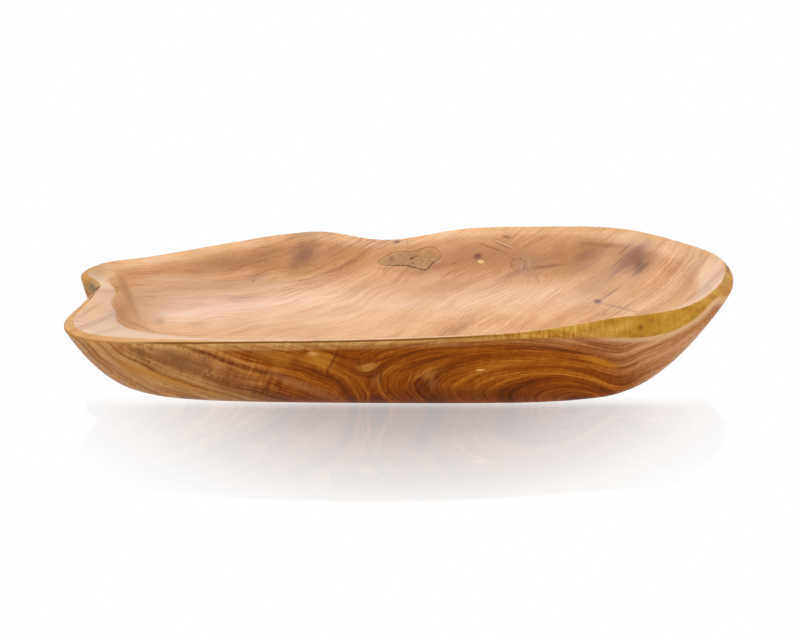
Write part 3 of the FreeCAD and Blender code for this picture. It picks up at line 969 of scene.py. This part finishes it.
def foot_finish():
    """A small dark knot low on the side."""
    bench = Bench("dark_knot")
    x, up, deep, _, _ = figure_plane(bench)
    wood, _, _ = side_wood(bench, x, up, deep)
    reach = length(bench, x - 46.5, (up + 22.0) * 1.4)
    rings = (reach * 4.2 + bench.noise(x / 1.5, up / 1.5, 0.0, 2) * 5.0).sin() * 0.5 + 0.5
    colour = bench.mix(rings, linear(64, 34, 12), chosen("bowl_set_in", "foot_colour"))
    colour = bench.mix(reach.step(4.2, 2.0) * 0.7, wood, colour)
    return bench.finish(colour, 0.45, rings, bump=0.2)


def bark_finish():
    """Old bark left in the cleft, sanded smooth: grey olive with dark gashes."""
    bench = Bench("bark")
    x, up, deep, y, z = figure_plane(bench)
    flakes = bench.noise(y / 2.6, z / 2.0, x / 4.0, 3, 0.65)
    colour = bench.ramp(
        flakes,
        [
            (0.30, linear(70, 50, 28)),
            (0.44, linear(124, 100, 62)),
            (0.56, chosen("bowl_set_in", "bark_colour")),
            (0.72, linear(182, 146, 96)),
        ],
    )
    return bench.finish(colour, 0.5 + (flakes - 0.5) * 0.3, flakes, bump=0.35)


# ------------------------------------------------------------------ choices


def length_choice(name, about, default):
    """A length that can be set in the panel."""
    return bpy.props.FloatProperty(name=name, description=about, default=default, unit="LENGTH")


def colour_choice(name, about, red, green, blue):
    """A colour that can be set in the panel."""
    return bpy.props.FloatVectorProperty(
        name=name, description=about, default=linear(red, green, blue), subtype="COLOR", min=0.0, max=1.0
    )


class BowlSkinChoices(bpy.types.PropertyGroup):
    square: length_choice("Skin square", "Side of the squares that the skin is remade in", 0.002)
    ripple_depth: length_choice("Ripple depth", "Height of the scraped ripple from hollow to crest", 0.0003)
    ripple_length: length_choice("Ripple length", "Length of one scraped ripple", 0.028)
    # Painted sheen: the pale pink laid over the floor of the hollow.
    floor_sheen_colour: colour_choice("Floor colour", "Pale wood on the floor of the hollow", 236, 194, 164)
    ochre_colour: colour_choice("Ochre colour", "Yellow bands in the hollow's wood", 206, 154, 88)
    crest_colour: colour_choice("Crest colour", "Worn wood along the inner line of the rim", 208, 154, 90)
    outside_colour: colour_choice("Outside colour", "Orange-brown wood of the outside", 144, 70, 6)


class SetInChoices(bpy.types.PropertyGroup):
    square: length_choice("Piece square", "Side of the squares that a set-in piece is remade in", 0.0004)
    filler_colour: colour_choice("Filler colour", "Grey in the middle of the filler", 158, 132, 104)
    pin_colour: colour_choice("Pin knot colour", "Pale end of the small branch", 238, 198, 136)
    foot_colour: colour_choice("Foot knot colour", "Lighter rings of the knot by the foot", 136, 78, 26)
    bark_colour: colour_choice("Bark colour", "Grey olive of the old bark", 152, 130, 90)


class StudioChoices(bpy.types.PropertyGroup):
    height_angle: bpy.props.FloatProperty(
        name="View height",
        description="How far above level the camera looks from",
        default=math.radians(17),
        subtype="ANGLE",
    )
    distance: length_choice("View distance", "Camera's distance from its aim", 1.5)
    lens: bpy.props.FloatProperty(name="Lens", description="Focal length in millimetres", default=106.06)
    aim: bpy.props.FloatVectorProperty(
        name="Aim",
        description="Point the camera looks at",
        default=(-0.00302, 0.0, 0.02636),
        subtype="TRANSLATION",
    )


# ------------------------------------------------------------------ operators


class BOWL_OT_body(bpy.types.Operator):
    """Remakes the bowl's skin and gives it its wood"""

    bl_idname = "bowl.body"
    bl_label = "Bowl body"

    def execute(self, context):
        choices = context.scene.bowl_skin
        skin = whole_skin()
        rim = Rim(skin)
        bowl = remeshed("bowl_skin", skin, choices.square)
        self.refine(bowl, rim)
        tree = relief_tree()
        wood = bowl_finish()
        sizes = {"Ripple Depth": choices.ripple_depth, "Ripple Length": choices.ripple_length}
        rippled(bowl, tree, wood, **sizes)
        for name in SET_IN:
            self.pocket(bowl, name)
        self.keep_gaps(bowl, rim)
        smoothed(bowl.data)
        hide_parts(BOWL)
        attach(bowl, BODY)
        return {"FINISHED"}

    @staticmethod
    def refine(bowl, rim):
        """Lays the even squares on the true surface and halves those by a sharp line."""
        surface = bmesh.new()
        surface.from_mesh(bowl.data)
        laid_on(surface, rim.tree)
        middles = np.array([f.calc_center_median() for f in surface.faces])
        reach = np.minimum(distances(middles, filled_in(rim.edge)), distances(middles, filled_in(rim.crest)))
        foot = (middles[:, 2] < 0.003) & (middles[:, 2] > 0.0001)
        surface.faces.ensure_lookup_table()
        wanted = [surface.faces[i] for i in np.flatnonzero((reach < 0.003) | foot)]
        divided(surface, wanted)
        laid_on(surface, rim.tree)
        surface.to_mesh(bowl.data)
        surface.free()

    @staticmethod
    def pocket(bowl, name):
        """Cuts one set-in piece's pocket."""
        piece, buried = caps_of(name, BOWL_TREE)
        hidden = set(buried)
        caps = [f for f in piece.faces if f not in hidden]
        facing = sum((f.normal * f.calc_area() for f in caps), Vector()).normalized()
        for corner in {v for f in caps for v in f.verts}:
            corner.co += facing * CUTTER_STAND
        mesh = bpy.data.meshes.new(name + "_cutter")
        piece.to_mesh(mesh)
        piece.free()
        cutter = as_object(name + "_cutter", mesh)
        cut = bowl.modifiers.new("Pocket", "BOOLEAN")
        cut.operation, cut.solver, cut.object = "DIFFERENCE", "MANIFOLD", cutter
        applied(bowl)
        bpy.data.objects.remove(cutter)

    @staticmethod
    def keep_gaps(bowl, rim):
        """Keeps each corner's distance from the rim's two lines for the wood to read."""
        mesh = bowl.data
        points = corners(mesh)
        for name, values in zip(("edge_gap", "crest_gap"), rim.measure(points)):
            keep(mesh, name, values)
        seams = np.concatenate([outline(name, BOWL_TREE) for name in SET_IN])
        keep(mesh, "seam_gap", distances(points, seams))


def set_in(context, name, finish, pits=()):
    """Remakes one set-in piece in even squares and gives it its material."""
    piece = remeshed(name + "_wood", merged(name), context.scene.bowl_set_in.square)
    solid = merged(name)
    surface = bmesh.new()
    surface.from_mesh(piece.data)
    laid_on(surface, BVHTree.FromBMesh(solid))
    surface.to_mesh(piece.data)
    surface.free()
    solid.free()
    mesh = piece.data
    depth = pitted(mesh, pits) if pits else None
    keep(mesh, "seam_gap", distances(corners(mesh), outline(name, BOWL_TREE)))
    if depth is not None:
        keep(mesh, "pit_depth", depth)
    mesh.materials.append(finish())
    smoothed(mesh)
    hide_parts(name)
    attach(piece, BODY)


def pitted(mesh, pits):
    """Sinks open pits into a mesh and says how deep each corner went."""
    points = corners(mesh)
    normals = np.empty(len(points) * 3)
    mesh.vertices.foreach_get("normal", normals)
    normals = normals.reshape(-1, 3)
    along, up = figure_places(points)
    depth = np.zeros(len(points))
    for x, y, wide, high, deep in pits:
        reach = np.hypot((along - x) / wide, (up - y) / high)
        depth = np.maximum(depth, deep * np.clip(1.25 - reach, 0.0, 1.0) ** 0.7)
    depth[normals[:, 1] > 0.2] = 0.0
    moved = points - normals * (depth * MM)[:, None]
    mesh.vertices.foreach_set("co", moved.ravel())
    mesh.update()
    return depth * MM


class BOWL_OT_filler(bpy.types.Operator):
    """Makes the filler in the back wall, with its open pits"""

    bl_idname = "bowl.filler"
    bl_label = "Filler"

    def execute(self, context):
        set_in(context, "back_wall_filler", filler_finish, FILLER_PITS)
        return {"FINISHED"}


class BOWL_OT_knots(bpy.types.Operator):
    """Makes the two knots in the back wall and the one by the foot"""

    bl_idname = "bowl.knots"
    bl_label = "Knots"

    def execute(self, context):
        set_in(context, "pin_knot", pin_finish)
        set_in(context, "swirl_knot", swirl_finish)
        set_in(context, "foot_knot", foot_finish)
        return {"FINISHED"}


class BOWL_OT_bark(bpy.types.Operator):
    """Makes the bark left in the cleft"""

    bl_idname = "bowl.bark"
    bl_label = "Cleft bark"

    def execute(self, context):
        set_in(context, "cleft_bark", bark_finish)
        return {"FINISHED"}


class BOWL_OT_studio(bpy.types.Operator):
    """Sets the pale floor, the lights and the camera"""

    bl_idname = "bowl.studio"
    bl_label = "Studio"

    def execute(self, context):
        choices = context.scene.bowl_studio
        scene = context.scene
        scene.view_settings.view_transform = "Standard"
        self.floor()
        self.sky(scene)
        self.camera(scene, choices)
        self.lamp("top_lamp", (-0.25, 0.35, 1.2), (0, 0, 0), 1.2, 4.4)
        return {"FINISHED"}

    @staticmethod
    def floor():
        mesh = bpy.data.meshes.new("floor")
        size = 6.0
        ground = [(-size, -size, 0), (size, -size, 0), (size, size, 0), (-size, size, 0)]
        mesh.from_pydata(ground, [], [(0, 1, 2, 3)])
        floor = as_object("floor", mesh)
        bench = Bench("white_gloss_floor")
        where = bench.node("ShaderNodeTexCoord", None, None, "Object")
        parts = bench.node("ShaderNodeSeparateXYZ", None, {0: where})
        x, y = Wire(bench, parts.socket.node.outputs[0]), Wire(bench, parts.socket.node.outputs[1])
        spread = bench.math("SQRT", (x / 0.24) * (x / 0.24) + (y / 0.30) * (y / 0.30))
        gloss = spread.step(1.05, 0.25) * y.step(-0.07, -0.10) * 0.62
        white = bench.node("ShaderNodeEmission", None, {"Color": (1, 1, 1), "Strength": 1.0})
        mirror = bench.node("ShaderNodeBsdfGlossy", None, {"Color": (1, 1, 1), "Roughness": 0.04})
        mixed = bench.node("ShaderNodeMixShader", None, {0: gloss, 1: white, 2: mirror})
        bench.node("ShaderNodeOutputMaterial", None, {"Surface": mixed})
        mesh.materials.append(bench.material)

    @staticmethod
    def sky(scene):
        world = bpy.data.worlds.new("white_studio")
        world.use_nodes = True
        world.node_tree.nodes["Background"].inputs["Color"].default_value = (1, 1, 1, 1)
        world.node_tree.nodes["Background"].inputs["Strength"].default_value = 1.0
        scene.world = world

    @staticmethod
    def camera(scene, choices):
        eye = bpy.data.cameras.new("camera")
        eye.lens, eye.sensor_width, eye.sensor_fit = choices.lens, 36.0, "HORIZONTAL"
        eye.clip_end = 100.0
        thing = bpy.data.objects.new("camera", eye)
        scene.collection.objects.link(thing)
        rise = choices.height_angle
        back = Vector((0, -math.cos(rise), math.sin(rise)))
        thing.location = Vector(choices.aim) + back * choices.distance
        thing.rotation_euler = (math.pi / 2 - rise, 0, 0)
        scene.camera = thing

    @staticmethod
    def lamp(name, place, aim, size, power):
        light = bpy.data.lights.new(name, "AREA")
        light.shape, light.size, light.energy = "DISK", size, power
        thing = bpy.data.objects.new(name, light)
        bpy.context.scene.collection.objects.link(thing)
        thing.location = place
        thing.rotation_euler = (Vector(aim) - Vector(place)).to_track_quat("-Z", "Y").to_euler()
        thing.visible_camera = False


class BOWL_PT_panel(bpy.types.Panel):
    """Lists the bowl's pieces and their sizes"""

    bl_idname = "BOWL_PT_panel"
    bl_label = "Bowl"
    bl_space_type = "VIEW_3D"
    bl_region_type = "UI"
    bl_category = "Bowl"

    def draw(self, context):
        for choices, operators in SECTIONS.items():
            box = self.layout.box()
            for name in getattr(context.scene, choices).bl_rna.properties.keys():
                if name not in ("rna_type", "name"):
                    box.prop(getattr(context.scene, choices), name)
            for operator in operators:
                box.operator(operator.bl_idname)


CHOICES = {"bowl_skin": BowlSkinChoices, "bowl_set_in": SetInChoices, "bowl_studio": StudioChoices}
SECTIONS = {
    "bowl_skin": (BOWL_OT_body,),
    "bowl_set_in": (BOWL_OT_filler, BOWL_OT_knots, BOWL_OT_bark),
    "bowl_studio": (BOWL_OT_studio,),
}
CLASSES = (*CHOICES.values(), *(one for group in SECTIONS.values() for one in group), BOWL_PT_panel)


def register():
    for cls in CLASSES:
        bpy.utils.register_class(cls)
    for name, cls in CHOICES.items():
        setattr(bpy.types.Scene, name, bpy.props.PointerProperty(type=cls))


def unregister():
    for name in CHOICES:
        delattr(bpy.types.Scene, name)
    for cls in reversed(CLASSES):
        bpy.utils.unregister_class(cls)


BOWL_TREE = BVHTree.FromBMesh(merged(BOWL))


def main():
    register()
    bpy.ops.bowl.body()
    bpy.ops.bowl.filler()
    bpy.ops.bowl.knots()
    bpy.ops.bowl.bark()
    bpy.ops.bowl.studio()


if __name__ == "__main__":
    main()
